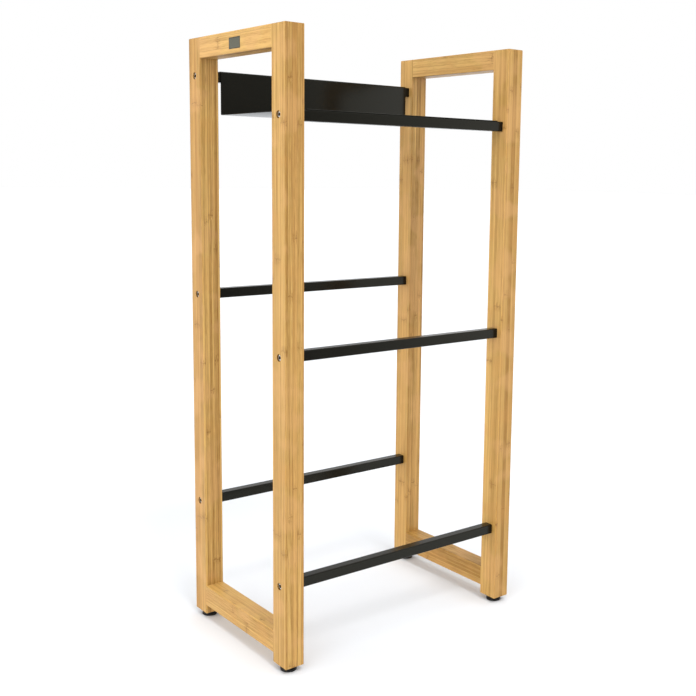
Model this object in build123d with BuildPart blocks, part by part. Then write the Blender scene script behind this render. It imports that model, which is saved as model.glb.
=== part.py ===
"""Free-standing towel rack: two bamboo side frames, six square steel bars and a hook-on shelf.

Millimetres. X runs along the bars, Y from front to back, Z up.
The origin is on the floor, at the centre of the rack's footprint.
"""
import os

from build123d import *

# ---------------------------------------------------------------- whole rack
RACK_WIDTH = 430
RACK_DEPTH = 268
FRAME_HEIGHT = 884
FOOT_HEIGHT = 8.5  # the side frames stand this far above the floor

# ---------------------------------------------------------------- bamboo side frames
FRAME_THICKNESS = 30
POST_DEPTH = 34
TOP_RAIL_HEIGHT = 30
BOTTOM_RAIL_HEIGHT = 32
BOTTOM_RAIL_LIFT = 14  # from the posts' bottoms to the rail's underside
EASED_EDGE = 1.2

DOWEL_RADIUS = 4
DOWEL_IN_POST = 12
DOWEL_IN_RAIL = 18
DOWEL_SPACING = 15
DOWEL_CHAMFER = 1

# ---------------------------------------------------------------- steel bars and their bolts
BAR_SIZE = 15
BAR_WALL = 1.2
BAR_CORNER = 1.5
BAR_PLUG_LENGTH = 17
ROW_COUNT = 3
LOWEST_ROW = 117.5  # centre of the lowest front bar above the posts' bottoms
ROW_PITCH = 324.5
BACK_ROW_LIFT = 63  # each back bar is this much higher than the front bar of its row

BOLT_RADIUS = 2.5
BOLT_LENGTH = 40
BOLT_HEAD_RADIUS = 4.25
BOLT_HEAD_HEIGHT = 5
BOLT_SOCKET = 4  # across flats
BOLT_SOCKET_DEPTH = 2.5
BOLT_CHAMFER = 0.5
COUNTERBORE_RADIUS = 5
COUNTERBORE_DEPTH = 6.5
BOLT_HOLE_RADIUS = 2.75
PLUG_HOLE_RADIUS = 2.55

# ---------------------------------------------------------------- shelf, one bent sheet
SHELF_WIDTH = 353
SHEET = 1.2
BEND_RADIUS = 1.6  # at the middle of the sheet
SHELF_CLEARANCE = 0.2
HOOK_DROP = 10
SHELF_CORNER = 4
SAME_LENGTH = 0.01  # tolerance when an edge is picked by its length

# ---------------------------------------------------------------- badge plate
BADGE_LENGTH = 31
BADGE_HEIGHT = 15.5
BADGE_THICKNESS = 0.8
BADGE_GAP = 0.15
BADGE_FORWARD = 2.5  # from the middle of the rail towards the front
BADGE_DROP = 1.5  # below the middle of the rail

# ---------------------------------------------------------------- levelling feet
PAD_RADIUS = 11.75
PAD_THICKNESS = 4
PAD_ROUND = 1.5
PAD_CHAMFER = 0.5
PAD_BOSS_RADIUS = 6.5
PAD_BOSS_TOP = 6
STUD_RADIUS = 3
STUD_REACH = 22  # above the posts' bottoms
STUD_FLANGE_RADIUS = 4.5
STUD_FLANGE_BASE = 2
STUD_FLANGE_HEIGHT = 2
STUD_HEX = 10  # across flats
RUNNING_GAP = 0.1
INSERT_LENGTH = 13
INSERT_RADIUS = 5
INSERT_FLANGE_RADIUS = 6.5
INSERT_FLANGE_HEIGHT = 1
INSERT_BORE = STUD_RADIUS + 0.06
STUD_POCKET_RADIUS = 3.5
STUD_POCKET_DEPTH = 24

# ---------------------------------------------------------------- places worked out from the sizes
frame_top = FOOT_HEIGHT + FRAME_HEIGHT
rail_length = RACK_DEPTH - 2 * POST_DEPTH
bottom_rail_base = FOOT_HEIGHT + BOTTOM_RAIL_LIFT
bottom_rail_top = bottom_rail_base + BOTTOM_RAIL_HEIGHT
top_rail_base = frame_top - TOP_RAIL_HEIGHT
top_rail_middle = frame_top - TOP_RAIL_HEIGHT / 2
bottom_rail_middle = bottom_rail_base + BOTTOM_RAIL_HEIGHT / 2
rail_middles = {"top_rail": top_rail_middle, "bottom_rail": bottom_rail_middle}

outer_face = RACK_WIDTH / 2
inner_face = outer_face - FRAME_THICKNESS
frame_middle = outer_face - FRAME_THICKNESS / 2
post_middle = RACK_DEPTH / 2 - POST_DEPTH / 2
seam = rail_length / 2

front_rows = [FOOT_HEIGHT + LOWEST_ROW + row * ROW_PITCH for row in range(ROW_COUNT)]
back_rows = [height + BACK_ROW_LIFT for height in front_rows]
bar_centres = [(-post_middle, height) for height in front_rows]
bar_centres += [(post_middle, height) for height in back_rows]
bar_names = ["front_bottom_bar", "front_middle_bar", "front_top_bar"]
bar_names += ["back_bottom_bar", "back_middle_bar", "back_top_bar"]

bolt_seat = outer_face - COUNTERBORE_DEPTH
foot_centres = {
    "left_front": (-frame_middle, -post_middle),
    "left_back": (-frame_middle, post_middle),
    "right_front": (frame_middle, -post_middle),
    "right_back": (frame_middle, post_middle),
}
SIDES = {"left": -1, "right": 1}

os.makedirs("parts", exist_ok=True)


# ---------------------------------------------------------------- side frames
def dowel_places(side):
    """The planes of one frame's dowels, each at a seam and facing out through its post."""
    places = []
    for middle in rail_middles.values():
        for offset in (-DOWEL_SPACING / 2, DOWEL_SPACING / 2):
            for end in (-1, 1):
                origin = (side * frame_middle, end * seam, middle + offset)
                places.append(Plane(origin=origin, z_dir=(0, end, 0)))
    return places


def drilled_frame(side):
    """One side frame as it leaves the glue-up: its outline eased, with every hole drilled."""
    outside = Plane.YZ.offset(side * outer_face)
    feet = [(side * frame_middle, end * post_middle) for end in (-1, 1)]
    with BuildPart() as frame:
        with BuildSketch(outside):
            with Locations((0, FOOT_HEIGHT + FRAME_HEIGHT / 2)):
                Rectangle(RACK_DEPTH, FRAME_HEIGHT)
            with Locations((0, (bottom_rail_top + top_rail_base) / 2)):
                Rectangle(rail_length, top_rail_base - bottom_rail_top, mode=Mode.SUBTRACT)
            with Locations((0, FOOT_HEIGHT + BOTTOM_RAIL_LIFT / 2)):
                Rectangle(rail_length, BOTTOM_RAIL_LIFT, mode=Mode.SUBTRACT)
        extrude(amount=-side * FRAME_THICKNESS)
        outline = frame.faces().filter_by(Axis.X).edges()
        levels = frame.edges().filter_by(Axis.X).group_by(Axis.Z)
        fillet(outline + levels[0] + levels[-1], EASED_EDGE)
        with BuildSketch(outside):
            with Locations(*bar_centres):
                Circle(COUNTERBORE_RADIUS)
        extrude(amount=-side * COUNTERBORE_DEPTH, mode=Mode.SUBTRACT)
        with BuildSketch(outside):
            with Locations(*bar_centres):
                Circle(BOLT_HOLE_RADIUS)
        extrude(amount=-side * FRAME_THICKNESS, mode=Mode.SUBTRACT)
        for radius, depth in (
            (INSERT_FLANGE_RADIUS, INSERT_FLANGE_HEIGHT),
            (INSERT_RADIUS, INSERT_LENGTH),
            (STUD_POCKET_RADIUS, STUD_POCKET_DEPTH),
        ):
            with BuildSketch(Plane.XY.offset(FOOT_HEIGHT)):
                with Locations(*feet):
                    Circle(radius)
            extrude(amount=depth, mode=Mode.SUBTRACT)
        for place in dowel_places(side):
            with BuildSketch(place.offset(-DOWEL_IN_RAIL)):
                Circle(DOWEL_RADIUS)
            extrude(amount=DOWEL_IN_RAIL + DOWEL_IN_POST, mode=Mode.SUBTRACT)
    return frame.part


front_seam = Plane.XZ.offset(seam)
back_seam = Plane.XZ.offset(-seam)
half_height = Plane.XY.offset(FOOT_HEIGHT + FRAME_HEIGHT / 2)
badge_centre = (-BADGE_FORWARD, top_rail_middle - BADGE_DROP)

for side_name, side in SIDES.items():
    blank = drilled_frame(side)

    with BuildPart() as front_post:
        add(blank)
        split(bisect_by=front_seam, keep=Keep.TOP)
    front_post.part.label = f"{side_name}_front_post"
    export_step(front_post.part, f"parts/{side_name}_front_post.step")

    with BuildPart() as back_post:
        add(blank)
        split(bisect_by=back_seam, keep=Keep.BOTTOM)
    back_post.part.label = f"{side_name}_back_post"
    export_step(back_post.part, f"parts/{side_name}_back_post.step")

    with BuildPart() as bottom_rail:
        add(blank)
        split(bisect_by=front_seam, keep=Keep.BOTTOM)
        split(bisect_by=back_seam, keep=Keep.TOP)
        split(bisect_by=half_height, keep=Keep.BOTTOM)
    bottom_rail.part.label = f"{side_name}_bottom_rail"
    export_step(bottom_rail.part, f"parts/{side_name}_bottom_rail.step")

    with BuildPart() as top_rail:
        add(blank)
        split(bisect_by=front_seam, keep=Keep.BOTTOM)
        split(bisect_by=back_seam, keep=Keep.TOP)
        split(bisect_by=half_height, keep=Keep.TOP)
        if side_name == "left":
            with BuildSketch(Plane.YZ.offset(-outer_face)):
                with Locations(badge_centre):
                    Rectangle(BADGE_LENGTH + 2 * BADGE_GAP, BADGE_HEIGHT + 2 * BADGE_GAP)
            extrude(amount=BADGE_THICKNESS, mode=Mode.SUBTRACT)
    top_rail.part.label = f"{side_name}_top_rail"
    export_step(top_rail.part, f"parts/{side_name}_top_rail.step")

    # Glued dowels, two at each rail end
    with BuildPart() as dowels:
        for place in dowel_places(side):
            with BuildSketch(place.offset(-DOWEL_IN_RAIL)):
                Circle(DOWEL_RADIUS)
            extrude(amount=DOWEL_IN_RAIL + DOWEL_IN_POST)
        chamfer(dowels.edges().filter_by(GeomType.CIRCLE), DOWEL_CHAMFER)
    dowels.part.label = f"{side_name}_frame_dowels"
    export_step(dowels.part, f"parts/{side_name}_frame_dowels.step")

# Metal badge plate, let into the left top rail's outer face
with BuildPart() as badge_plate:
    with BuildSketch(Plane.YZ.offset(-outer_face)):
        with Locations(badge_centre):
            Rectangle(BADGE_LENGTH, BADGE_HEIGHT)
    extrude(amount=BADGE_THICKNESS)
    fillet(badge_plate.edges().filter_by(Axis.X), BADGE_THICKNESS)
badge_plate.part.label = "badge_plate"
export_step(badge_plate.part, "parts/badge_plate.step")

# ---------------------------------------------------------------- bars, plugs and bolts
for bar_name, centre in zip(bar_names, bar_centres):
    with BuildPart() as bar:
        with BuildSketch(Plane.YZ.offset(-inner_face)):
            with Locations(centre):
                RectangleRounded(BAR_SIZE, BAR_SIZE, BAR_CORNER)
                Rectangle(BAR_SIZE - 2 * BAR_WALL, BAR_SIZE - 2 * BAR_WALL, mode=Mode.SUBTRACT)
        extrude(amount=2 * inner_face)
    bar.part.label = bar_name
    export_step(bar.part, f"parts/{bar_name}.step")

for side_name, side in SIDES.items():
    # Threaded plugs welded into the bars' ends
    with BuildPart() as plugs:
        with BuildSketch(Plane.YZ.offset(side * inner_face)):
            with Locations(*bar_centres):
                Rectangle(BAR_SIZE - 2 * BAR_WALL, BAR_SIZE - 2 * BAR_WALL)
                Circle(PLUG_HOLE_RADIUS, mode=Mode.SUBTRACT)
        extrude(amount=-side * BAR_PLUG_LENGTH)
    plugs.part.label = f"{side_name}_bar_plugs"
    export_step(plugs.part, f"parts/{side_name}_bar_plugs.step")

    # Cap-head bolts with a hexagon socket, sunk in the posts
    with BuildPart() as bolts:
        with BuildSketch(Plane.YZ.offset(side * bolt_seat)):
            with Locations(*bar_centres):
                Circle(BOLT_HEAD_RADIUS)
        extrude(amount=side * BOLT_HEAD_HEIGHT)
        head_tops = bolts.faces().group_by(Axis((0, 0, 0), (side, 0, 0)))[-1]
        chamfer(head_tops.edges(), BOLT_CHAMFER)
        with BuildSketch(Plane.YZ.offset(side * bolt_seat)):
            with Locations(*bar_centres):
                Circle(BOLT_RADIUS)
        extrude(amount=-side * BOLT_LENGTH)
        with BuildSketch(Plane.YZ.offset(side * (bolt_seat + BOLT_HEAD_HEIGHT))):
            with Locations(*bar_centres):
                RegularPolygon(BOLT_SOCKET / 2, 6, major_radius=False)
        extrude(amount=-side * BOLT_SOCKET_DEPTH, mode=Mode.SUBTRACT)
    bolts.part.label = f"{side_name}_bar_bolts"
    export_step(bolts.part, f"parts/{side_name}_bar_bolts.step")

# ---------------------------------------------------------------- shelf
# The floor lies on the front top bar; the wall rises before the back top bar and hooks over it.
floor_level = front_rows[-1] + BAR_SIZE / 2 + SHEET / 2
hook_level = back_rows[-1] + BAR_SIZE / 2 + SHEET / 2
wall_place = post_middle - BAR_SIZE / 2 - SHELF_CLEARANCE - SHEET / 2
lip_place = post_middle + BAR_SIZE / 2 + SHELF_CLEARANCE + SHEET / 2
shelf_front = -post_middle - BAR_SIZE / 2

with BuildPart() as shelf:
    with BuildSketch(Plane.YZ.offset(-SHELF_WIDTH / 2)):
        with BuildLine():
            FilletPolyline(
                (shelf_front, floor_level),
                (wall_place, floor_level),
                (wall_place, hook_level),
                (lip_place, hook_level),
                (lip_place, hook_level - HOOK_DROP),
                radius=BEND_RADIUS,
            )
        trace(line_width=SHEET)
    extrude(amount=SHELF_WIDTH)
    upright = shelf.edges().filter_by(Axis.Z)
    corners = upright.filter_by(lambda edge: abs(edge.length - SHEET) < SAME_LENGTH)
    fillet(corners.group_by(Axis.Y)[0], SHELF_CORNER)
shelf.part.label = "shelf"
export_step(shelf.part, "parts/shelf.step")

# ---------------------------------------------------------------- levelling feet
# Threaded inserts, screwed flush into the posts' bottoms
with BuildPart() as foot_inserts:
    with BuildSketch(Plane.XY.offset(FOOT_HEIGHT)):
        with Locations(*foot_centres.values()):
            Circle(INSERT_RADIUS)
    extrude(amount=INSERT_LENGTH)
    with BuildSketch(Plane.XY.offset(FOOT_HEIGHT)):
        with Locations(*foot_centres.values()):
            Circle(INSERT_FLANGE_RADIUS)
    extrude(amount=INSERT_FLANGE_HEIGHT)
    with BuildSketch(Plane.XY.offset(FOOT_HEIGHT)):
        with Locations(*foot_centres.values()):
            Circle(INSERT_BORE)
    extrude(amount=INSERT_LENGTH, mode=Mode.SUBTRACT)
foot_inserts.part.label = "foot_inserts"
export_step(foot_inserts.part, "parts/foot_inserts.step")

pocket_base = STUD_FLANGE_BASE - RUNNING_GAP
pocket_top = STUD_FLANGE_BASE + STUD_FLANGE_HEIGHT + RUNNING_GAP
hex_base = PAD_BOSS_TOP + RUNNING_GAP
hex_height = FOOT_HEIGHT - RUNNING_GAP - hex_base

for corner_name, (x, y) in foot_centres.items():
    # Round pad, with a pocket that holds the stud's flange
    with BuildPart() as pad:
        with BuildSketch():
            with Locations((x, y)):
                Circle(PAD_RADIUS)
        extrude(amount=PAD_THICKNESS)
        rims = pad.edges().filter_by(GeomType.CIRCLE).group_by(Axis.Z)
        fillet(rims[-1], PAD_ROUND)
        chamfer(rims[0], PAD_CHAMFER)
        with BuildSketch():
            with Locations((x, y)):
                Circle(PAD_BOSS_RADIUS)
        extrude(amount=PAD_BOSS_TOP)
        with BuildSketch(Plane.XY.offset(pocket_base)):
            with Locations((x, y)):
                Circle(STUD_FLANGE_RADIUS + RUNNING_GAP)
        extrude(amount=pocket_top - pocket_base, mode=Mode.SUBTRACT)
        with BuildSketch(Plane.XY.offset(pocket_base)):
            with Locations((x, y)):
                Circle(STUD_RADIUS + RUNNING_GAP)
        extrude(amount=PAD_BOSS_TOP - pocket_base, mode=Mode.SUBTRACT)
    pad.part.label = f"{corner_name}_foot_pad"
    export_step(pad.part, f"parts/{corner_name}_foot_pad.step")

    # Threaded stud with a hexagon for the spanner and a flange that turns in the pad
    with BuildPart() as stud:
        with BuildSketch(Plane.XY.offset(STUD_FLANGE_BASE)):
            with Locations((x, y)):
                Circle(STUD_FLANGE_RADIUS)
        extrude(amount=STUD_FLANGE_HEIGHT)
        with BuildSketch(Plane.XY.offset(STUD_FLANGE_BASE)):
            with Locations((x, y)):
                Circle(STUD_RADIUS)
        extrude(amount=FOOT_HEIGHT + STUD_REACH - STUD_FLANGE_BASE)
        chamfer(stud.edges().filter_by(GeomType.CIRCLE).sort_by(Axis.Z)[-1], BOLT_CHAMFER)
        with BuildSketch(Plane.XY.offset(hex_base)):
            with Locations((x, y)):
                RegularPolygon(STUD_HEX / 2, 6, major_radius=False)
        extrude(amount=hex_height)
    stud.part.label = f"{corner_name}_foot_stud"
    export_step(stud.part, f"parts/{corner_name}_foot_stud.step")
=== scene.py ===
"""Studio picture of the towel rack: camera, light and floor, then the looks of its pieces.

Metres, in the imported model's own frame: X runs along the bars, Y from front to back, Z up.
Materials work in millimetres of that frame.
"""
import math

import bmesh
import bpy
from mathutils import Matrix, Vector


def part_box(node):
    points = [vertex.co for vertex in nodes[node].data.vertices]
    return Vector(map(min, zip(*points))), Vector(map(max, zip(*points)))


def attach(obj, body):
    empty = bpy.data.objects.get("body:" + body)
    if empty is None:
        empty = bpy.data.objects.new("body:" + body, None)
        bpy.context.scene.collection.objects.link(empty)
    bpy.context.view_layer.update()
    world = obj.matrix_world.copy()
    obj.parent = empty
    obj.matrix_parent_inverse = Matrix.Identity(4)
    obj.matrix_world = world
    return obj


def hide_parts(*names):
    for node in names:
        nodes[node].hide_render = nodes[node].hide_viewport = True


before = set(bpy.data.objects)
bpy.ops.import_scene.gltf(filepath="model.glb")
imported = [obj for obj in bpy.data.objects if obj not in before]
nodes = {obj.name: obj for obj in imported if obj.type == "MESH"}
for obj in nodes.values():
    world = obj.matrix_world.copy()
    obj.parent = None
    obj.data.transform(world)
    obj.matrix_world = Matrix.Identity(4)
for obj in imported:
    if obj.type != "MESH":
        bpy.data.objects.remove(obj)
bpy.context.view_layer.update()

SIDES = ("left", "right")
CORNERS = ("left_front", "left_back", "right_front", "right_back")
MM = 0.001

# ---------------------------------------------------------------- camera
CAMERA_PLACE = (-0.93607, -1.29305, 0.70352)
CAMERA_YAW = 39.668  # degrees, from looking along +Y towards +X
CAMERA_PITCH = -7.813
CAMERA_ROLL = 0.992
CAMERA_LENS = 53.0
CAMERA_SENSOR = 36.0
CAMERA_SHIFT = (-0.1093, -0.0511)


def make_camera():
    data = bpy.data.cameras.new("camera")
    data.sensor_width = CAMERA_SENSOR
    data.lens = CAMERA_LENS
    data.shift_x, data.shift_y = CAMERA_SHIFT
    camera = bpy.data.objects.new("camera", data)
    bpy.context.scene.collection.objects.link(camera)
    turn = Matrix.Rotation(math.radians(-CAMERA_YAW), 4, "Z")
    tilt = Matrix.Rotation(math.radians(90 + CAMERA_PITCH), 4, "X")
    roll = Matrix.Rotation(math.radians(CAMERA_ROLL), 4, "Z")
    camera.matrix_world = Matrix.Translation(CAMERA_PLACE) @ turn @ tilt @ roll
    bpy.context.scene.camera = camera


# ---------------------------------------------------------------- light and floor
FLOOR_SIDE = 60.0
FLOOR_COLOUR = (0.815, 0.837, 0.868, 1.0)
BACKDROP_LIGHT = 1.0  # all round, up to BACKDROP_TOP
CEILING_LIGHT = 0.52  # above CEILING_EDGE
BACKDROP_TOP = 16.5  # degrees above the horizon
CEILING_EDGE = 22.5
SOFT_LIGHTS = (  # name, direction that it comes from, power, degrees across
    ("key_light", (-0.07, -0.73, 1.0), 0.27, 18.0),
    ("top_light", (0.0, -0.15, 1.0), 0.48, 90.0),
    ("side_light", (-1.0, -0.05, 0.15), 0.74, 80.0),
)
CARD_Y = -1.35
CARD_CORNERS = ((-2.2, 0.02), (3.0, 2.2))  # x, z
CARD_FADE = (0.6, 1.3)  # x where it starts and stops to brighten
CARD_LIGHT = (0.22, 1.35)  # left and right, in the card's lower part
CARD_UPPER_LIGHT = (0.52, 1.18)  # and in its upper part
CARD_STEP = (0.87, 0.93)  # z between the two parts


def make_soft_light(name, place, power, size):
    """A distant softbox. A white sheet facing a power of 1 shows as full white."""
    data = bpy.data.lights.new(name, "SUN")
    data.energy = power * math.pi
    data.angle = math.radians(size)
    light = bpy.data.objects.new(name, data)
    bpy.context.scene.collection.objects.link(light)
    light.rotation_euler = Vector(place).to_track_quat("Z", "Y").to_euler()


def make_world():
    """A white backdrop all round, with a dimmer ceiling above it."""
    world = bpy.data.worlds.new("studio")
    bpy.context.scene.world = world
    world.use_nodes = True
    tree = world.node_tree
    direction = tree.nodes.new("ShaderNodeTexCoord").outputs["Generated"]
    height = tree.nodes.new("ShaderNodeSeparateXYZ")
    tree.links.new(direction, height.inputs[0])
    level = tree.nodes.new("ShaderNodeMapRange")
    level.interpolation_type = "SMOOTHSTEP"
    tree.links.new(height.outputs["Z"], level.inputs["Value"])
    low, high = (math.sin(math.radians(angle)) for angle in (BACKDROP_TOP, CEILING_EDGE))
    for value, socket in zip((low, high, BACKDROP_LIGHT, CEILING_LIGHT), level.inputs[1:5]):
        socket.default_value = value
    tree.links.new(level.outputs[0], tree.nodes["Background"].inputs["Strength"])
    tree.nodes["Background"].inputs["Color"].default_value = (1.0, 1.0, 1.0, 1.0)


def make_reflector():
    """A tall card across the camera's end of the studio, seen by reflections alone.

    It is dim on the left and bright on the right.
    """
    (left, low), (right, high) = CARD_CORNERS
    mesh = bpy.data.meshes.new("reflector")
    corners = [(left, CARD_Y, low), (right, CARD_Y, low), (right, CARD_Y, high), (left, CARD_Y, high)]
    mesh.from_pydata(corners, [], [(0, 1, 2, 3)])
    card = bpy.data.objects.new("reflector", mesh)
    bpy.context.scene.collection.objects.link(card)
    card.visible_camera = False
    card.visible_diffuse = False
    card.visible_shadow = False
    paint = bpy.data.materials.new("reflector")
    paint.use_nodes = True
    tree = paint.node_tree
    tree.nodes.clear()
    spot = tree.nodes.new("ShaderNodeSeparateXYZ")
    tree.links.new(tree.nodes.new("ShaderNodeTexCoord").outputs["Object"], spot.inputs[0])
    level = tree.nodes.new("ShaderNodeMapRange")
    tree.links.new(spot.outputs["X"], level.inputs["Value"])
    for value, socket in zip(CARD_FADE, level.inputs[1:3]):
        socket.default_value = value
    for lower, upper, socket in zip(CARD_LIGHT, CARD_UPPER_LIGHT, level.inputs[3:5]):
        step = tree.nodes.new("ShaderNodeMapRange")
        tree.links.new(spot.outputs["Z"], step.inputs["Value"])
        for value, end in zip((*CARD_STEP, lower, upper), step.inputs[1:5]):
            end.default_value = value
        tree.links.new(step.outputs[0], socket)
    glow = tree.nodes.new("ShaderNodeEmission")
    tree.links.new(level.outputs[0], glow.inputs["Strength"])
    tree.links.new(glow.outputs[0], tree.nodes.new("ShaderNodeOutputMaterial").inputs["Surface"])
    mesh.materials.append(paint)


def make_floor():
    half = FLOOR_SIDE / 2
    mesh = bpy.data.meshes.new("floor")
    corners = [(-half, -half, 0), (half, -half, 0), (half, half, 0), (-half, half, 0)]
    mesh.from_pydata(corners, [], [(0, 1, 2, 3)])
    floor = bpy.data.objects.new("floor", mesh)
    bpy.context.scene.collection.objects.link(floor)
    paint = bpy.data.materials.new("floor_paper")
    paint.use_nodes = True
    shader = paint.node_tree.nodes["Principled BSDF"]
    shader.inputs["Base Color"].default_value = FLOOR_COLOUR
    shader.inputs["Roughness"].default_value = 1.0
    shader.inputs["Specular IOR Level"].default_value = 0.0
    mesh.materials.append(paint)


# ---------------------------------------------------------------- material building
class Paint:
    """A material under construction: short calls that add a node and hand back its output."""

    def __init__(self, name):
        self.material = bpy.data.materials.new(name)
        self.material.use_nodes = True
        self.tree = self.material.node_tree
        self.shader = self.tree.nodes["Principled BSDF"]
        texture = self.tree.nodes.new("ShaderNodeTexCoord")
        self.place = self.vector("SCALE", texture.outputs["Object"], scale=1 / MM)
        self.facing = texture.outputs["Normal"]

    def feed(self, value, socket):
        """Links a node's output to a socket, or writes a constant into it."""
        if isinstance(value, bpy.types.NodeSocket):
            self.tree.links.new(value, socket)
        else:
            socket.default_value = value

    def math(self, operation, first, second=0.0, third=0.0, clamp=False):
        node = self.tree.nodes.new("ShaderNodeMath")
        node.operation = operation
        node.use_clamp = clamp
        for value, socket in zip((first, second, third), node.inputs):
            self.feed(value, socket)
        return node.outputs[0]

    def vector(self, operation, first, second=(0, 0, 0), scale=1.0):
        node = self.tree.nodes.new("ShaderNodeVectorMath")
        node.operation = operation
        self.feed(first, node.inputs[0])
        self.feed(second, node.inputs[1])
        if operation == "SCALE":
            self.feed(scale, node.inputs["Scale"])
        return node.outputs["Value" if operation == "DISTANCE" else "Vector"]

    def split(self, vector):
        node = self.tree.nodes.new("ShaderNodeSeparateXYZ")
        self.feed(vector, node.inputs[0])
        return node.outputs[0], node.outputs[1], node.outputs[2]

    def join(self, x, y, z):
        node = self.tree.nodes.new("ShaderNodeCombineXYZ")
        for value, socket in zip((x, y, z), node.inputs):
            self.feed(value, socket)
        return node.outputs[0]

    def noise(self, vector, scale=1.0, detail=2.0, roughness=0.5):
        node = self.tree.nodes.new("ShaderNodeTexNoise")
        self.feed(vector, node.inputs["Vector"])
        self.feed(scale, node.inputs["Scale"])
        self.feed(detail, node.inputs["Detail"])
        self.feed(roughness, node.inputs["Roughness"])
        return node.outputs["Fac"]

    def cloud(self, scale, detail=2.0, roughness=0.5):
        """Noise through the whole piece, at this scale per millimetre."""
        place = self.vector("SCALE", self.place, scale=scale)
        return self.noise(place, detail=detail, roughness=roughness)

    def random(self, vector):
        """One random number from 0 to 1 for each value of the vector."""
        node = self.tree.nodes.new("ShaderNodeTexWhiteNoise")
        node.noise_dimensions = "3D"
        self.feed(vector, node.inputs["Vector"])
        return node.outputs["Value"]

    def dots(self, vector, scale):
        """Distance to the nearest of the scattered points."""
        node = self.tree.nodes.new("ShaderNodeTexVoronoi")
        self.feed(vector, node.inputs["Vector"])
        self.feed(scale, node.inputs["Scale"])
        return node.outputs["Distance"]

    def fade(self, value, low, high, at_low=0.0, at_high=1.0):
        """A smooth step: at_low up to low, at_high from high on."""
        node = self.tree.nodes.new("ShaderNodeMapRange")
        node.interpolation_type = "SMOOTHSTEP"
        for item, socket in zip((value, low, high, at_low, at_high), node.inputs):
            self.feed(item, socket)
        return node.outputs[0]

    def mix(self, share, first, second):
        node = self.tree.nodes.new("ShaderNodeMix")
        node.data_type = "RGBA"
        self.feed(share, node.inputs["Factor"])
        for value, name in ((first, "A"), (second, "B")):
            socket = [s for s in node.inputs if s.name == name and s.type == "RGBA"][0]
            self.feed(value, socket)
        return [s for s in node.outputs if s.type == "RGBA"][0]

    def bump(self, height, distance, strength):
        """Roughens the surface: a height of 1 stands this distance out, in mm."""
        node = self.tree.nodes.new("ShaderNodeBump")
        self.feed(height, node.inputs["Height"])
        self.feed(distance * MM, node.inputs["Distance"])
        self.feed(strength, node.inputs["Strength"])
        self.tree.links.new(node.outputs[0], self.shader.inputs["Normal"])

    def set(self, **values):
        """Feeds the shader's sockets, named as on the shader with _ for a space."""
        for name, value in values.items():
            self.feed(value, self.shader.inputs[name.replace("_", " ")])
        return self.material


def rgb(red, green, blue):
    return (red, green, blue, 1.0)


# ---------------------------------------------------------------- bamboo
LAYER = 7.5  # the boards are glued up from layers this thick across the frame, in mm
STRIP = 17.0  # and each layer from strips this wide
FRAME_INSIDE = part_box("right_front_post")[0][0] / MM  # the side frames' inner faces, from the middle
NODE_SPACING = 290.0  # between the bamboo's own nodes along a strip
NODE_STARTS = 31.0  # the strips start at random within this many spacings
NODE_WANDER = 12.0  # mm along the grain that a node's line strays over
NODE_REACH = (1.0, 11.0)  # mm from a node where its disturbed grain starts and stops to fade
NODE_LINE = (0.2, 1.3)  # and where its dark line does
POST_GRAIN = 75.0  # length of the finer streaks, in mm
RAIL_GRAIN = 28.0
LONG_GRAIN = 300.0  # and of the broader ones
FIBRE_SHIFT = 400.0  # the strips' fibres are drawn from this long a stretch of the noise
CALM_SWAY = 0.9  # mm over which the fibres sway
NODE_SWAY = 7.0  # and what a node adds
LOOKS_ALONG = (0.6, 0.8)  # a face looks along an axis once its normal's share of it passes these
HOLE_SHADE_REACH = (4.9, 5.2)  # mm from the hole's middle where the painted shade of the counterbore starts and stops to fade
HOLE_SHADE_STRENGTH = 0.55  # the strength of that painted shade

TONE_DRAW = 0.5  # added to a board's seed, so that its random numbers differ
START_DRAW = 3.5
PLACE_DRAW = 5.5
HUE_DRAW = 7.5

PALE_BAMBOO = rgb(0.640, 0.390, 0.115)
DEEP_BAMBOO = rgb(0.310, 0.155, 0.026)
WARM_BAMBOO = rgb(0.560, 0.270, 0.070)
PEACH_BAMBOO = rgb(0.620, 0.335, 0.120)
# painted shade for the bolt holes' walls and rims
HOLE_SHADE_BAMBOO = rgb(0.090, 0.042, 0.014)
BROWN_FIBRE = rgb(0.205, 0.086, 0.018)

STRIP_TONE = 0.45  # how much deeper the deepest strip is
LAYER_TONE = 0.16  # and a layer's outer side
NODE_TONE = 0.14  # and the grain at a node
FIBRE_TONES = {"bands": 0.48, "stripes": 0.28, "streaks": 0.21, "threads": 0.19}
FACE_CONTRAST = 0.75
BOARDS = {  # tones of the wide faces and of the edges, and the contrast of the edges' grain; the edge tones are partly the grain's own and partly painted light, lightening or deepening the posts' fronts and backs and the rails' tops and undersides
    "left_front_post": (0.07, 0.24, 1.10),
    "left_back_post": (0.36, 0.00, 1.30),
    "right_front_post": (0.10, 0.44, 0.36),
    "right_back_post": (0.15, 0.20, 1.20),
    "left_top_rail": (-0.10, 0.07, 0.90),
    "right_top_rail": (0.06, 0.05, 0.90),
    "left_bottom_rail": (0.24, -0.27, 0.60),
    "right_bottom_rail": (0.60, 0.28, 0.80),
}


def lay_up(paint, x, side, seed):
    """The number of the layer and of the strip at each point, and how far across each the point is."""
    depth = paint.math("SUBTRACT", paint.math("ABSOLUTE", x), FRAME_INSIDE)
    layer_place = paint.math("MULTIPLY_ADD", depth, 1 / LAYER, 0.5)
    layer = paint.math("FLOOR", layer_place)
    layer_part = paint.math("FRACT", layer_place)
    stagger = paint.random(paint.join(layer, seed, 0.0))
    strip_place = paint.math("ADD", paint.math("DIVIDE", side, STRIP), stagger)
    strip = paint.math("FLOOR", strip_place)
    strip_part = paint.math("FRACT", strip_place)
    return layer, strip, layer_part, strip_part


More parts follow.
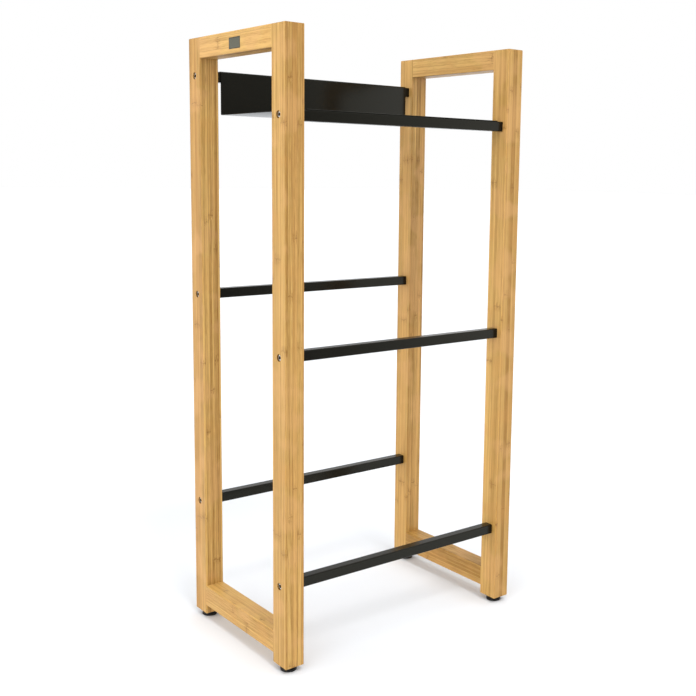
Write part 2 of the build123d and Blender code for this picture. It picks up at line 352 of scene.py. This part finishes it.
def growth_nodes(paint, grain, layer, strip, seed):
    """The strips' own nodes: the disturbed stretch round each, and the broken dark line across it."""
    start = paint.random(paint.join(strip, layer, seed + START_DRAW))
    start = paint.math("MULTIPLY", start, NODE_STARTS)
    turn = paint.math("ADD", paint.math("DIVIDE", grain, NODE_SPACING), start)
    joint = paint.math("FLOOR", turn)
    jitter = paint.random(paint.join(joint, paint.math("ADD", strip, layer), seed + PLACE_DRAW))
    centre = paint.math("MULTIPLY_ADD", jitter, 0.5, 0.25)
    gap = paint.math("SUBTRACT", paint.math("FRACT", turn), centre)
    gap = paint.math("MULTIPLY", gap, NODE_SPACING)
    wander = paint.cloud(0.13, detail=4.0, roughness=0.65)
    gap = paint.math("ADD", gap, paint.math("MULTIPLY_ADD", wander, NODE_WANDER, -NODE_WANDER / 2))
    distance = paint.math("ABSOLUTE", gap)
    zone = paint.fade(distance, *NODE_REACH, 1.0, 0.0)
    line = paint.fade(distance, *NODE_LINE, 1.0, 0.0)
    unbroken = paint.fade(paint.cloud(0.6), 0.38, 0.55)
    return zone, paint.math("MULTIPLY", line, unbroken)


def draw_fibres(paint, x, side, grain, grain_length, node_zone, tone):
    """Fibres of five sizes: a noise drawn out along the grain, and swaying round the nodes."""
    swirl = paint.noise(paint.join(x, side, paint.math("MULTIPLY", grain, 0.45)), scale=0.14, detail=1.0)
    reach = paint.math("MULTIPLY_ADD", node_zone, NODE_SWAY, CALM_SWAY)
    sway = paint.math("MULTIPLY", paint.math("SUBTRACT", swirl, 0.5), reach)
    across = paint.math("ADD", side, sway)
    shift = paint.math("MULTIPLY", tone, FIBRE_SHIFT)

    def fibres(width, length, low, high, detail=2.0, roughness=0.5):
        """Streaks this wide and long in mm: 0 up to the noise's low level, 1 from its high one."""
        drawn = paint.join(
            paint.math("DIVIDE", x, width),
            paint.math("DIVIDE", across, width),
            paint.math("ADD", paint.math("DIVIDE", grain, length), shift),
        )
        return paint.fade(paint.noise(drawn, detail=detail, roughness=roughness), low, high)

    return {
        "bands": fibres(6.0, 2 * LONG_GRAIN, 0.40, 0.60),
        "stripes": fibres(2.8, LONG_GRAIN, 0.41, 0.61),
        "veins": fibres(1.7, LONG_GRAIN, 0.60, 0.70, detail=1.0),
        "streaks": fibres(1.2, grain_length, 0.38, 0.64, roughness=0.6),
        "threads": fibres(0.42, grain_length / 4, 0.34, 0.70, roughness=0.6),
    }


def wood_tone(paint, fibres, tone, layer_part, node_zone, base, contrast):
    """How deep the wood's colour is, from 0 to 1."""
    shade = paint.math("MULTIPLY_ADD", tone, STRIP_TONE, base)
    shade = paint.math("ADD", shade, paint.math("MULTIPLY", layer_part, LAYER_TONE))
    for size, weight in FIBRE_TONES.items():
        level = paint.math("MULTIPLY", paint.math("SUBTRACT", fibres[size], 0.5), contrast)
        shade = paint.math("MULTIPLY_ADD", level, weight, shade)
    return paint.math("MULTIPLY_ADD", node_zone, NODE_TONE, shade, clamp=True)


def wood_colour(paint, shade, hue):
    """Pale to deep with the shade, here and there warmer or peach-coloured."""
    patches = paint.cloud(0.018)
    colour = paint.mix(shade, PALE_BAMBOO, DEEP_BAMBOO)
    warmth = paint.math("ADD", paint.fade(patches, 0.48, 0.68), paint.fade(hue, 0.6, 1.0), clamp=True)
    colour = paint.mix(paint.math("MULTIPLY", warmth, 0.30), colour, WARM_BAMBOO)
    return paint.mix(paint.fade(patches, 0.36, 0.52, 0.45, 0.0), colour, PEACH_BAMBOO)


def brown_fibres(paint, colour, fibres, node_zone, node_line, contrast):
    """Long dark veins, short flecks that are denser near a node, and the nodes' own lines."""
    veins = paint.math("MULTIPLY", fibres["veins"], paint.math("MULTIPLY_ADD", contrast, 0.50, -0.24))
    colour = paint.mix(veins, colour, BROWN_FIBRE)
    streaks = fibres["streaks"]
    flecks = paint.math("MULTIPLY", fibres["threads"], paint.math("MULTIPLY", streaks, streaks))
    flecks = paint.math("MULTIPLY", flecks, paint.math("MULTIPLY_ADD", node_zone, 0.55, 0.30))
    colour = paint.mix(flecks, colour, BROWN_FIBRE)
    return paint.mix(paint.math("MULTIPLY", node_line, 0.62), colour, BROWN_FIBRE)


def glue_lines(paint, layer_part, strip_part, contrast):
    """Thin dark lines between layers and between strips."""
    layer_edge = paint.math("MULTIPLY", paint.math("PINGPONG", layer_part, 0.5), LAYER)
    strip_edge = paint.math("MULTIPLY", paint.math("PINGPONG", strip_part, 0.5), STRIP)
    layer_glue = paint.math("MULTIPLY", paint.fade(layer_edge, 0.05, 0.45, 0.5, 0.0), contrast)
    return paint.math("MAXIMUM", layer_glue, paint.fade(strip_edge, 0.05, 0.35, 0.5, 0.0))


def bamboo(name, along, seed, face_tone, edge_tone, edge_contrast, holes):
    """Laminated bamboo whose grain runs along Y or Z. Layers are stacked along X.

    Tones run from 0, pale, to 1, deep. The holes, (y, z) in mm, run along X.
    """
    paint = Paint(name)
    x, y, z = paint.split(paint.place)
    out_x, out_y, out_z = paint.split(paint.facing)
    side, grain, grain_length = (y, z, POST_GRAIN) if along == "Z" else (z, y, RAIL_GRAIN)
    layer, strip, layer_part, strip_part = lay_up(paint, x, side, seed)
    tone = paint.random(paint.join(layer, strip, seed + TONE_DRAW))
    hue = paint.random(paint.join(layer, strip, seed + HUE_DRAW))
    node_zone, node_line = growth_nodes(paint, grain, layer, strip, seed)
    fibres = draw_fibres(paint, x, side, grain, grain_length, node_zone, tone)

    # the strips' wide faces, which look along X, are calmer than their edges
    edge_grain = paint.fade(paint.math("ABSOLUTE", out_x), *LOOKS_ALONG, 1.0, 0.0)
    # each board's edge faces take a tone of their own, apart from its wide faces, partly for the grain
    # and partly as painted light
    base = paint.math("MULTIPLY_ADD", edge_grain, edge_tone - face_tone, face_tone)
    contrast = paint.math("MULTIPLY_ADD", edge_grain, edge_contrast - FACE_CONTRAST, FACE_CONTRAST)
    shade = wood_tone(paint, fibres, tone, layer_part, node_zone, base, contrast)
    colour = wood_colour(paint, shade, hue)
    colour = brown_fibres(paint, colour, fibres, node_zone, node_line, contrast)
    glue = glue_lines(paint, layer_part, strip_part, contrast)
    colour = paint.mix(glue, colour, BROWN_FIBRE)

    # sawn ends show the cut fibre bundles as dots instead
    end = paint.fade(paint.math("ABSOLUTE", out_z if along == "Z" else out_y), *LOOKS_ALONG)
    bundles = paint.dots(paint.join(x, side, 0.0), 0.85)
    end_colour = paint.mix(paint.fade(bundles, 0.16, 0.42), BROWN_FIBRE, DEEP_BAMBOO)
    end_colour = paint.mix(glue, end_colour, BROWN_FIBRE)
    colour = paint.mix(end, colour, end_colour)

    # painted shade on the holes' walls and rims, standing in for the dark of the counterbores
    flat = paint.join(0.0, y, z)
    for hole_y, hole_z in holes:
        reach = paint.vector("DISTANCE", flat, (0.0, hole_y, hole_z))
        colour = paint.mix(paint.fade(reach, *HOLE_SHADE_REACH, HOLE_SHADE_STRENGTH, 0.0), colour, HOLE_SHADE_BAMBOO)

    streaks = fibres["streaks"]
    relief = paint.math("MULTIPLY_ADD", fibres["threads"], 0.5, paint.math("MULTIPLY", streaks, 0.5))
    relief = paint.math("SUBTRACT", relief, node_line)
    relief = paint.math("SUBTRACT", relief, glue)
    paint.bump(relief, 0.06, 0.6)
    gloss = paint.math("MULTIPLY_ADD", streaks, 0.14, 0.36)
    return paint.set(
        Base_Color=colour,
        Roughness=gloss,
        Specular_IOR_Level=0.26,
        Coat_Weight=0.05,
        Coat_Roughness=0.25,
    )


# ---------------------------------------------------------------- metals and plastics
# a pair is the colours at a noise's low and high level
BLACK_COAT = (rgb(0.0028, 0.0027, 0.0019), rgb(0.0066, 0.0062, 0.0044))
COAT_CLOUD = rgb(0.007, 0.0066, 0.0048)
COAT_TINT = rgb(1.0, 0.98, 0.82)
BRIGHT_ZINC = (rgb(0.68, 0.67, 0.64), rgb(0.88, 0.87, 0.83))
# painted shade for the bolts' deep hex sockets
SOCKET_SHADE = (rgb(0.018, 0.014, 0.011), rgb(0.060, 0.050, 0.040))
DULL_ZINC = (rgb(0.42, 0.42, 0.43), rgb(0.56, 0.56, 0.57))
BRUSHED_STEEL = (rgb(0.098, 0.097, 0.070), rgb(0.158, 0.155, 0.115))
BADGE_CLOUD = rgb(0.130, 0.127, 0.092)
# painted shade: the shadow line in the gap round the badge, drawn as a dark border
BADGE_RIM_SHADE = rgb(0.025, 0.022, 0.018)
BADGE_RIM_SHADE_REACH = (0.3, 1.5)  # mm from the plate's edge where the painted shade of the gap round it starts and stops to fade
BLACK_PLASTIC = (rgb(0.0035, 0.0035, 0.0035), rgb(0.010, 0.010, 0.0095))
BEECH = (rgb(0.66, 0.46, 0.28), rgb(0.46, 0.27, 0.14))


def powder_coat():
    """Satin black powder coat: an even skin with a fine orange peel."""
    paint = Paint("black_powder_coat")
    peel = paint.cloud(0.9, roughness=0.45)
    grit = paint.cloud(5.5, roughness=0.6)
    cloud = paint.cloud(0.03)
    colour = paint.mix(paint.fade(grit, 0.35, 0.7), *BLACK_COAT)
    colour = paint.mix(paint.math("MULTIPLY", cloud, 0.5), colour, COAT_CLOUD)
    relief = paint.math("MULTIPLY_ADD", grit, 0.35, peel)
    paint.bump(relief, 0.03, 0.5)
    gloss = paint.math("MULTIPLY_ADD", grit, 0.07, 0.17)
    return paint.set(Base_Color=colour, Roughness=gloss, Specular_IOR_Level=0.25, Specular_Tint=COAT_TINT)


def zinc_plate():
    """Bright zinc on turned steel, with a faint clouded passivation."""
    paint = Paint("zinc_steel")
    cloud = paint.cloud(0.35, detail=4.0, roughness=0.6)
    fine = paint.cloud(4.0)
    colour = paint.mix(paint.fade(cloud, 0.35, 0.65), *BRIGHT_ZINC)
    gloss = paint.math("MULTIPLY_ADD", fine, 0.18, 0.20)
    paint.bump(fine, 0.02, 0.5)
    return paint.set(Base_Color=colour, Roughness=gloss, Metallic=1.0)


def socket_shade_paint():
    """The bolts' sockets: zinc darkened with painted shade for the deep hex hole."""
    paint = Paint("socket_shade_paint")
    smear = paint.cloud(1.3, detail=3.0, roughness=0.6)
    colour = paint.mix(paint.fade(smear, 0.35, 0.7), *SOCKET_SHADE)
    paint.bump(smear, 0.03, 0.5)
    gloss = paint.math("MULTIPLY_ADD", smear, 0.25, 0.40)
    return paint.set(Base_Color=colour, Roughness=gloss, Metallic=0.3)


def cast_zinc():
    """Dull cast zinc alloy with a coarse skin."""
    paint = Paint("zinc_alloy")
    grain = paint.cloud(2.2, detail=3.0, roughness=0.6)
    colour = paint.mix(paint.fade(grain, 0.3, 0.7), *DULL_ZINC)
    paint.bump(grain, 0.04, 0.6)
    gloss = paint.math("MULTIPLY_ADD", grain, 0.2, 0.36)
    return paint.set(Base_Color=colour, Roughness=gloss, Metallic=1.0)


def badge_metal():
    """Dark grey plate, brushed along the rail, with painted shade along its edges."""
    paint = Paint("badge_steel")
    x, y, z = paint.split(paint.place)
    drawn = paint.join(x, paint.math("DIVIDE", y, 9.0), paint.math("DIVIDE", z, 0.12))
    brush = paint.noise(drawn, detail=3.0, roughness=0.7)
    cloud = paint.cloud(0.12)
    colour = paint.mix(paint.fade(brush, 0.3, 0.7), *BRUSHED_STEEL)
    colour = paint.mix(paint.math("MULTIPLY", cloud, 0.5), colour, BADGE_CLOUD)
    low, high = (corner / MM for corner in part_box("badge_plate"))
    centre, half = (low + high) / 2, (high - low) / 2
    side_y = paint.math("SUBTRACT", half.y, paint.math("ABSOLUTE", paint.math("SUBTRACT", y, centre.y)))
    side_z = paint.math("SUBTRACT", half.z, paint.math("ABSOLUTE", paint.math("SUBTRACT", z, centre.z)))
    # painted shade, darker towards the plate's edges
    rim_shade = paint.fade(paint.math("MINIMUM", side_y, side_z), *BADGE_RIM_SHADE_REACH, 0.7, 0.0)
    colour = paint.mix(rim_shade, colour, BADGE_RIM_SHADE)
    paint.bump(brush, 0.02, 0.5)
    gloss = paint.math("MULTIPLY_ADD", brush, 0.16, 0.34)
    return paint.set(Base_Color=colour, Roughness=gloss, Metallic=0.85)


def foot_plastic():
    """Black moulded plastic with a spark-eroded texture."""
    paint = Paint("foot_plastic")
    spark = paint.cloud(3.2, detail=3.0, roughness=0.6)
    colour = paint.mix(paint.fade(spark, 0.35, 0.7), *BLACK_PLASTIC)
    paint.bump(spark, 0.05, 0.7)
    gloss = paint.math("MULTIPLY_ADD", spark, 0.2, 0.30)
    return paint.set(Base_Color=colour, Roughness=gloss, Specular_IOR_Level=0.30)


def beech():
    """Plain turned beech: pale, with short dark rays."""
    paint = Paint("beech_dowel")
    x, y, z = paint.split(paint.place)
    drawn = paint.join(
        paint.math("DIVIDE", x, 0.5),
        paint.math("DIVIDE", y, 7.0),
        paint.math("DIVIDE", z, 0.5),
    )
    rays = paint.noise(drawn, detail=3.0, roughness=0.6)
    colour = paint.mix(paint.fade(rays, 0.4, 0.7), *BEECH)
    paint.bump(rays, 0.05, 0.6)
    gloss = paint.math("MULTIPLY_ADD", rays, 0.2, 0.55)
    return paint.set(Base_Color=colour, Roughness=gloss)


# ---------------------------------------------------------------- turned and threaded pieces, in mm
TURNS = 36  # corners round a turned piece: a multiple of 6, for its hexagons
THREAD_DEPTH = 0.6  # of the pitch
THREAD_SLOPE = 1.6  # of the flanks: above 1, which leaves crests and roots flat
SMOOTH_ANGLE = 32.0  # degrees; sharper edges stay crisp

M5_PITCH = 0.8
M5_THREAD_LENGTH = 16.0
M5_POINT = (0.8, 0.6)  # length and inset of the chamfered end
HEAD_HEIGHT = 5.0
HEAD_RADIUS = 4.25
HEAD_ROUND = ((0.0, 0.55), (0.12, 0.25), (0.5, 0.0))  # depth and inset of the rings round the head's top
KNURL_ENDS = (0.5, 0.7)  # above the seat and below the head's top
KNURL_DEPTH = 0.22
SEAT_INSET = 0.3
SHANK_RADIUS = 2.5
SHANK_END = 0.4  # before the thread
SOCKET_FLATS = 4.0
SOCKET_DEPTH = 2.5
SOCKET_MOUTH = (0.3, 0.45)  # depth of the chamfered mouth, and its reach past half the flats

M6_PITCH = 1.0
M6_POINT = 0.7  # length and inset of its chamfered end
STUD_RADIUS = 3.0
STUD_FLANGE_RADIUS = 4.5
STUD_FLANGE_CHAMFER = 0.3
STUD_HEX_FLATS = 10.0
STUD_HEX_CORNER = 5.3  # the hexagon's corners are turned down to this
STUD_HEX_CHAMFER = 0.35
STUD_STEPS = {"flange": (0.0, 2.0), "hexagon": (4.1, 6.4), "thread": 6.4}  # above the stud's foot

WOOD_PITCH = 2.5
WOOD_DEPTH = 0.4  # of the pitch
WOOD_ENDS = (0.4, 1.0)  # from the flange to the outer thread, and from it to the nose
INSERT_RADIUS = 5.0
INSERT_NOSE = 1.2  # the nose's radius is this much smaller
INSERT_FLANGE = (6.5, 1.0)  # radius and thickness
INSERT_FLANGE_CHAMFER = 0.2
INSERT_BORE = 3.06
INSERT_MOUTH = (0.6, 0.5)  # depth of the bore's chamfered ends, and how much wider they are

FLUTE_DEPTH = 0.3
DOWEL_CHAMFER = 1.0


def round_section(radius):
    """A circle's outline. An outline gives the radius at each angle."""
    return lambda angle: radius


def hexagon(flats, most=math.inf):
    """A hexagon's outline, its corners cut off at the radius most."""
    def radius(angle):
        from_flat = (angle + math.pi / 6) % (math.pi / 3) - math.pi / 6
        return min(most, flats / 2 / math.cos(from_flat))
    return radius


def ridged(radius, depth):
    """Ridges and grooves at alternate corners of the turned piece."""
    return lambda angle: radius - depth * (0.5 + 0.5 * math.cos(TURNS / 2 * angle))


def threaded(crest, pitch, height, depth):
    """A right-hand thread's outline at this height, from the crest's radius down by the depth."""
    def radius(angle):
        phase = (height / pitch - angle / math.tau) % 1.0
        ramp = 1.0 - abs(2.0 * phase - 1.0)
        rise = THREAD_SLOPE * (ramp - 0.5) + 0.5
        return crest - depth * (1.0 - min(1.0, max(0.0, rise)))
    return radius


def thread_rings(start, end, crest, pitch, steps=4, depth=THREAD_DEPTH):
    """The rings of a thread from one height to another."""
    count = round(abs(end - start) / pitch * steps)
    heights = [start + (end - start) * i / count for i in range(count + 1)]
    return [(height, threaded(crest, pitch, height, depth * pitch)) for height in heights]


def lathe(bm, rings, place, closed=False, dark_rings=0):
    """A surface through the rings, which are (height along Z, outline), capped or closed on itself.

    The first dark_rings bands of faces, and the cap before them, take the piece's second material.
    """
    loops = []
    for height, outline in rings:
        loop = []
        for i in range(TURNS):
            angle = math.tau * i / TURNS
            point = Vector((math.cos(angle), math.sin(angle), 0)) * outline(angle)
            point.z = height
            loop.append(bm.verts.new(place @ (point * MM)))
        loops.append(loop)
    if closed:
        loops.append(loops[0])
    for band, (below, above) in enumerate(zip(loops, loops[1:])):
        for i in range(TURNS):
            j = (i + 1) % TURNS
            face = bm.faces.new((below[i], below[j], above[j], above[i]))
            face.material_index = int(band < dark_rings)
    if not closed:
        bm.faces.new(loops[0]).material_index = int(dark_rings > 0)
        bm.faces.new(loops[-1])


def make_piece(name, bm, body, slot, materials, *stands_for):
    """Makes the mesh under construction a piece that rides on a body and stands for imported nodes."""
    bmesh.ops.recalc_face_normals(bm, faces=bm.faces)
    mesh = bpy.data.meshes.new(name)
    bm.to_mesh(mesh)
    bm.free()
    mesh.polygons.foreach_set("use_smooth", [True] * len(mesh.polygons))
    mesh.set_sharp_from_angle(angle=math.radians(SMOOTH_ANGLE))
    for material in materials:
        mesh.materials.append(material)
    piece = bpy.data.objects.new(name, mesh)
    bpy.context.scene.collection.objects.link(piece)
    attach(piece, body)
    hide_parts(*stands_for)


def solids(node):
    """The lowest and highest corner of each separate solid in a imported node."""
    mesh = nodes[node].data
    spots = [tuple(round(c / MM, 3) for c in vertex.co) for vertex in mesh.vertices]
    group = {spot: spot for spot in spots}

    def root(spot):
        while group[spot] != spot:
            group[spot] = group[group[spot]]
            spot = group[spot]
        return spot

    for edge in mesh.edges:
        first, second = (root(spots[v]) for v in edge.vertices)
        group[first] = second
    boxes = {}
    for spot in sorted(group):
        low, high = boxes.get(root(spot), (spot, spot))
        boxes[root(spot)] = (tuple(map(min, low, spot)), tuple(map(max, high, spot)))
    return [(Vector(low) * MM, Vector(high) * MM) for low, high in boxes.values()]


def make_bolts(side, zinc, socket_shade):
    """M5 cap-head bolts, whose heads look outwards along X."""
    outwards = -1 if side == "left" else 1
    mouth_depth, mouth_reach = SOCKET_MOUTH
    knurl_base, knurl_top = KNURL_ENDS
    point_length, point_inset = M5_POINT
    bm = bmesh.new()
    for low, high in solids(f"{side}_bar_bolts"):
        middle = (low + high) / 2
        length = (high.x - low.x) / MM - HEAD_HEIGHT
        seat = (high.x if outwards > 0 else low.x) - outwards * HEAD_HEIGHT * MM
        turn = Matrix.Rotation(outwards * math.pi / 2, 4, "Y")
        place = Matrix.Translation((seat, middle.y, middle.z)) @ turn
        rings = [
            (HEAD_HEIGHT - SOCKET_DEPTH, hexagon(SOCKET_FLATS)),
            (HEAD_HEIGHT - mouth_depth, hexagon(SOCKET_FLATS)),
            (HEAD_HEIGHT, round_section(SOCKET_FLATS / 2 + mouth_reach)),
            *((HEAD_HEIGHT - drop, round_section(HEAD_RADIUS - inset)) for drop, inset in HEAD_ROUND),
            (HEAD_HEIGHT - knurl_top, ridged(HEAD_RADIUS, KNURL_DEPTH)),
            (knurl_base, ridged(HEAD_RADIUS, KNURL_DEPTH)),
            (0.0, round_section(HEAD_RADIUS - SEAT_INSET)),
            (0.0, round_section(SHANK_RADIUS)),
            (M5_THREAD_LENGTH - length + SHANK_END, round_section(SHANK_RADIUS)),
            *thread_rings(M5_THREAD_LENGTH - length, point_length - length, SHANK_RADIUS, M5_PITCH),
            (-length, round_section(SHANK_RADIUS - point_inset)),
        ]
        # the sockets' walls and floor take the painted shade of the second material
        lathe(bm, rings, place, dark_rings=2)
    make_piece(f"{side}_cap_bolts", bm, "rack", "zinc_steel", (zinc, socket_shade), f"{side}_bar_bolts")


def make_stud(corner, zinc):
    """The M6 levelling stud: a flange that turns in the pad, a hexagon and a thread."""
    node = f"{corner}_foot_stud"
    low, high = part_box(node)
    middle = (low + high) / 2
    length = (high.z - low.z) / MM
    flange_base, flange_top = STUD_STEPS["flange"]
    hex_base, hex_top = STUD_STEPS["hexagon"]
    rings = [
        (flange_base, round_section(STUD_FLANGE_RADIUS - STUD_FLANGE_CHAMFER)),
        (flange_base + STUD_FLANGE_CHAMFER, round_section(STUD_FLANGE_RADIUS)),
        (flange_top - STUD_FLANGE_CHAMFER, round_section(STUD_FLANGE_RADIUS)),
        (flange_top, round_section(STUD_FLANGE_RADIUS - STUD_FLANGE_CHAMFER)),
        (flange_top, round_section(STUD_RADIUS)),
        (hex_base, round_section(STUD_RADIUS)),
        (hex_base, hexagon(STUD_HEX_FLATS, most=STUD_HEX_CORNER)),
        (hex_base + STUD_HEX_CHAMFER, hexagon(STUD_HEX_FLATS)),
        (hex_top - STUD_HEX_CHAMFER, hexagon(STUD_HEX_FLATS)),
        (hex_top, hexagon(STUD_HEX_FLATS, most=STUD_HEX_CORNER)),
        *thread_rings(STUD_STEPS["thread"], length - M6_POINT, STUD_RADIUS, M6_PITCH, steps=6),
        (length, round_section(STUD_RADIUS - M6_POINT)),
    ]
    bm = bmesh.new()
    lathe(bm, rings, Matrix.Translation((middle.x, middle.y, low.z)))
    make_piece(f"{corner}_threaded_stud", bm, f"{corner}_stud", "zinc_steel", (zinc,), node)


def make_inserts(alloy):
    """Screw-in nuts with a coarse wood thread outside, an M6 thread inside and a flange at the bottom."""
    bm = bmesh.new()
    flange_radius, flange_height = INSERT_FLANGE
    below_thread, above_thread = WOOD_ENDS
    mouth_depth, mouth_reach = INSERT_MOUTH
    inner_root = INSERT_BORE + THREAD_DEPTH * M6_PITCH
    for low, high in solids("foot_inserts"):
        middle = (low + high) / 2
        length = (high.z - low.z) / MM
        outer_start = flange_height + below_thread
        outer_end = length - above_thread
        rings = [
            (0.0, round_section(INSERT_BORE + mouth_reach)),
            (0.0, round_section(flange_radius - INSERT_FLANGE_CHAMFER)),
            (INSERT_FLANGE_CHAMFER, round_section(flange_radius)),
            (flange_height, round_section(flange_radius)),
            (flange_height, round_section(INSERT_RADIUS - WOOD_DEPTH * WOOD_PITCH)),
            *thread_rings(outer_start, outer_end, INSERT_RADIUS, WOOD_PITCH, steps=6, depth=WOOD_DEPTH),
            (length, round_section(INSERT_RADIUS - INSERT_NOSE)),
            (length, round_section(INSERT_BORE + mouth_reach)),
            *thread_rings(length - mouth_depth, mouth_depth, inner_root, M6_PITCH),
        ]
        lathe(bm, rings, Matrix.Translation((middle.x, middle.y, low.z)), closed=True)
    make_piece("threaded_inserts", bm, "rack", "zinc_alloy", (alloy,), "foot_inserts")


def make_dowels(side, wood):
    """Fluted dowels along Y, with chamfered ends."""
    bm = bmesh.new()
    for low, high in solids(f"{side}_frame_dowels"):
        middle = (low + high) / 2
        length = (high.y - low.y) / MM
        radius = (high.x - low.x) / MM / 2
        rings = [
            (0.0, round_section(radius - DOWEL_CHAMFER)),
            (DOWEL_CHAMFER, ridged(radius, FLUTE_DEPTH)),
            (length - DOWEL_CHAMFER, ridged(radius, FLUTE_DEPTH)),
            (length, round_section(radius - DOWEL_CHAMFER)),
        ]
        place = Matrix.Translation((middle.x, high.y, middle.z)) @ Matrix.Rotation(math.pi / 2, 4, "X")
        lathe(bm, rings, place)
    make_piece(f"{side}_fluted_dowels", bm, "rack", "beech_dowel", (wood,), f"{side}_frame_dowels")


# ---------------------------------------------------------------- sheet pieces with softened edges
FLAT_ANGLE = 0.5  # degrees; faces that turn less are one face
BURR_ANGLE = 30.0  # edges that turn more are softened
SAME_PLACE = 1e-6  # metres
SHEET_EDGE = 0.5  # mm, the rounding's radius
BADGE_EDGE = 0.15


def make_softened(name, node, body, slot, material, radius):
    """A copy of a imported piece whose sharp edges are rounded."""
    bm = bmesh.new()
    bm.from_mesh(nodes[node].data)
    bmesh.ops.remove_doubles(bm, verts=bm.verts, dist=SAME_PLACE)
    bmesh.ops.dissolve_limit(bm, angle_limit=math.radians(FLAT_ANGLE), verts=bm.verts, edges=bm.edges)
    sharp = [e for e in bm.edges if e.is_manifold and e.calc_face_angle() > math.radians(BURR_ANGLE)]
    bmesh.ops.bevel(
        bm,
        geom=sharp,
        offset=radius * MM,
        segments=2,
        profile=0.5,
        affect="EDGES",
        clamp_overlap=True,
    )
    bmesh.ops.triangulate(bm, faces=[face for face in bm.faces if len(face.verts) > 4])
    make_piece(name, bm, body, slot, (material,), node)


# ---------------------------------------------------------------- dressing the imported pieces
def wear(node, material):
    """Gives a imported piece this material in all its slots."""
    mesh = nodes[node].data
    mesh.materials.clear()
    mesh.materials.append(material)


def dress(zinc, black):
    """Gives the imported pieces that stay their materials. Each board's seed and tones are its own."""
    seed = 1
    for side in SIDES:
        wear(f"{side}_bar_plugs", zinc)
        bolts = [(low + high) / 2 / MM for low, high in solids(f"{side}_bar_bolts")]
        for piece in ("front_post", "back_post", "top_rail", "bottom_rail"):
            node = f"{side}_{piece}"
            along = "Z" if piece.endswith("post") else "Y"
            front = piece.startswith("front")
            holes = [(bolt.y, bolt.z) for bolt in bolts if along == "Z" and (bolt.y < 0) == front]
            wear(node, bamboo(f"bamboo_{node}", along, seed, *BOARDS[node], holes))
            seed += 1
    for row in ("bottom", "middle", "top"):
        for place in ("front", "back"):
            wear(f"{place}_{row}_bar", black)
    plastic = foot_plastic()
    for corner in CORNERS:
        wear(f"{corner}_foot_pad", plastic)


def main():
    bpy.context.scene.view_settings.view_transform = "Standard"
    make_camera()
    make_world()
    for name, place, power, size in SOFT_LIGHTS:
        make_soft_light(name, place, power, size)
    make_floor()
    make_reflector()
    zinc = zinc_plate()
    black = powder_coat()
    alloy = cast_zinc()
    plate = badge_metal()
    dowel = beech()
    socket_shade = socket_shade_paint()
    dress(zinc, black)
    make_softened("shelf_sheet", "shelf", "shelf", "black_powder_coat", black, SHEET_EDGE)
    make_softened("badge_face", "badge_plate", "rack", "badge_steel", plate, BADGE_EDGE)
    for side in SIDES:
        make_bolts(side, zinc, socket_shade)
        make_dowels(side, dowel)
    for corner in CORNERS:
        make_stud(corner, zinc)
    make_inserts(alloy)


main()
